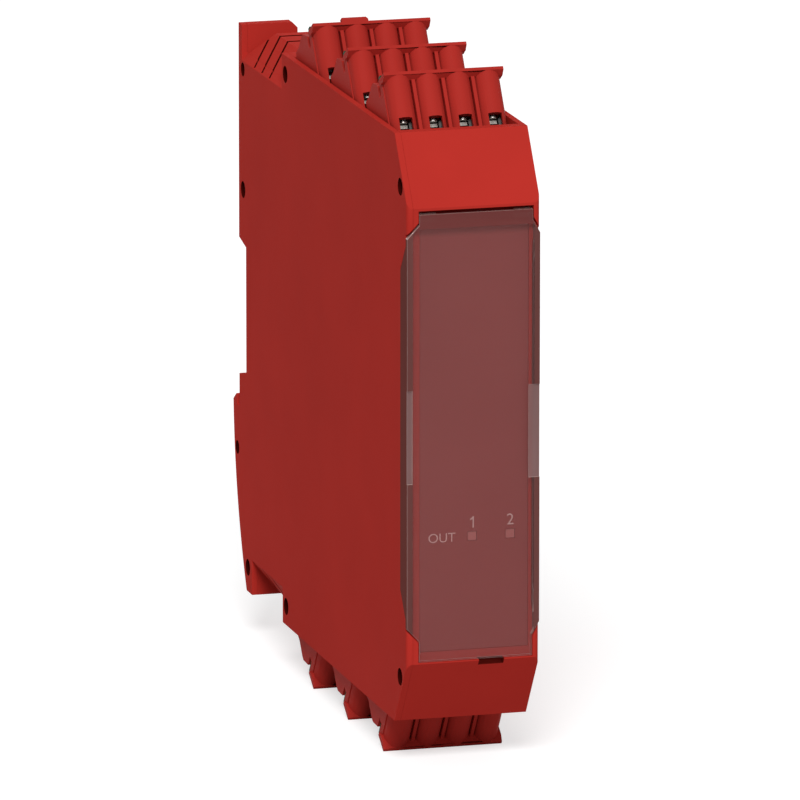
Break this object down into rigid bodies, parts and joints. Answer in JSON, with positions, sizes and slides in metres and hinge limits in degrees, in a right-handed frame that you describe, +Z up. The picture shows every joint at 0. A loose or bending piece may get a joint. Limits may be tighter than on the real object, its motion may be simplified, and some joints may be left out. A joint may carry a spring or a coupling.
{
  "type": "safety relay module",
  "caption": "Narrow red rail-mounted safety relay module with plug-in screw terminals, a clear hinged front cover and a rail foot.",
  "frame": {"origin": "centre of the rail seat: mid width, on the plane of the rail's front face, at the rail's mid height", "axes": "+X to the right seen from the front, +Y from the front towards the rail, +Z up"},
  "size_m": [0.0226, 0.1111, 0.1156],
  "materials": {
    "case_red": "fine satin moulding",
    "plug_red": "satin",
    "clear_cover": "polished clear moulding",
    "front_print": "printed plate",
    "light_guide": "clear light guide",
    "light_chip": "moulded lamp chip",
    "board_green": "lacquered board",
    "chip_black": "moulded",
    "can_silver": "drawn can",
    "socket_black": "moulded",
    "contact_tin": "tinned",
    "catch_grey": "moulded",
    "spring_steel": "spring strip",
    "relay_white": "moulded",
    "screw_steel": "zinc plated",
    "cage_steel": "zinc plated",
    "header_green": "moulded"
  },
  "bodies": {
    "case": {"housing": "case_red", "side_cover": "case_red", "front_plate": "front_print", "light_guides": "light_guide", "light_chips": "light_chip", "light_board": "board_green", "main_board": "board_green", "logic_chips": "chip_black", "capacitors": "can_silver", "bus_socket": "socket_black", "bus_contacts": "contact_tin", "relay_1": "relay_white", "relay_2": "relay_white", "relay_3": "relay_white", "relay_4": "relay_white", "catch_spring": "spring_steel", "header_top_front": "header_green", "header_top_middle": "header_green", "header_top_rear": "header_green", "header_bottom_front": "header_green", "header_bottom_middle": "header_green", "header_bottom_rear": "header_green", "pins_top_front": "contact_tin", "pins_top_middle": "contact_tin", "pins_top_rear": "contact_tin", "pins_bottom_front": "contact_tin", "pins_bottom_middle": "contact_tin", "pins_bottom_rear": "contact_tin"},
    "cover": {"front_cover": "clear_cover"},
    "catch": {"foot_catch": "catch_grey"},
    "top_front_terminals": {"plug_top_front": "plug_red", "screws_top_front": "screw_steel", "cages_top_front": "cage_steel", "contacts_top_front": "contact_tin"},
    "top_middle_terminals": {"plug_top_middle": "plug_red", "screws_top_middle": "screw_steel", "cages_top_middle": "cage_steel", "contacts_top_middle": "contact_tin"},
    "top_rear_terminals": {"plug_top_rear": "plug_red", "screws_top_rear": "screw_steel", "cages_top_rear": "cage_steel", "contacts_top_rear": "contact_tin"},
    "bottom_front_terminals": {"plug_bottom_front": "plug_red", "screws_bottom_front": "screw_steel", "cages_bottom_front": "cage_steel", "contacts_bottom_front": "contact_tin"},
    "bottom_middle_terminals": {"plug_bottom_middle": "plug_red", "screws_bottom_middle": "screw_steel", "cages_bottom_middle": "cage_steel", "contacts_bottom_middle": "contact_tin"},
    "bottom_rear_terminals": {"plug_bottom_rear": "plug_red", "screws_bottom_rear": "screw_steel", "cages_bottom_rear": "cage_steel", "contacts_bottom_rear": "contact_tin"}
  },
  "joints": [
    {"name": "cover_hinge", "type": "hinge", "parent": "case", "child": "cover", "pos_m": [0, -0.106, 0.0365], "axis": [-1, 0, 0], "range_deg": [0, 100]},
    {"name": "catch_slide", "type": "slide", "parent": "case", "child": "catch", "axis": [0, 0, -1], "range_m": [0, 0.003], "stiffness_N_per_m": 2000, "springref_m": -0.001, "deforming": ["catch_spring"]},
    {"name": "unplug_top_front", "type": "slide", "parent": "case", "child": "top_front_terminals", "axis": [0, 0.5592, 0.829], "range_m": [0, 0.012]},
    {"name": "unplug_top_middle", "type": "slide", "parent": "case", "child": "top_middle_terminals", "axis": [0, 0.5592, 0.829], "range_m": [0, 0.012]},
    {"name": "unplug_top_rear", "type": "slide", "parent": "case", "child": "top_rear_terminals", "axis": [0, 0.5592, 0.829], "range_m": [0, 0.012]},
    {"name": "unplug_bottom_front", "type": "slide", "parent": "case", "child": "bottom_front_terminals", "axis": [0, 0.5592, -0.829], "range_m": [0, 0.012]},
    {"name": "unplug_bottom_middle", "type": "slide", "parent": "case", "child": "bottom_middle_terminals", "axis": [0, 0.5592, -0.829], "range_m": [0, 0.012]},
    {"name": "unplug_bottom_rear", "type": "slide", "parent": "case", "child": "bottom_rear_terminals", "axis": [0, 0.5592, -0.829], "range_m": [0, 0.012]}
  ]
}
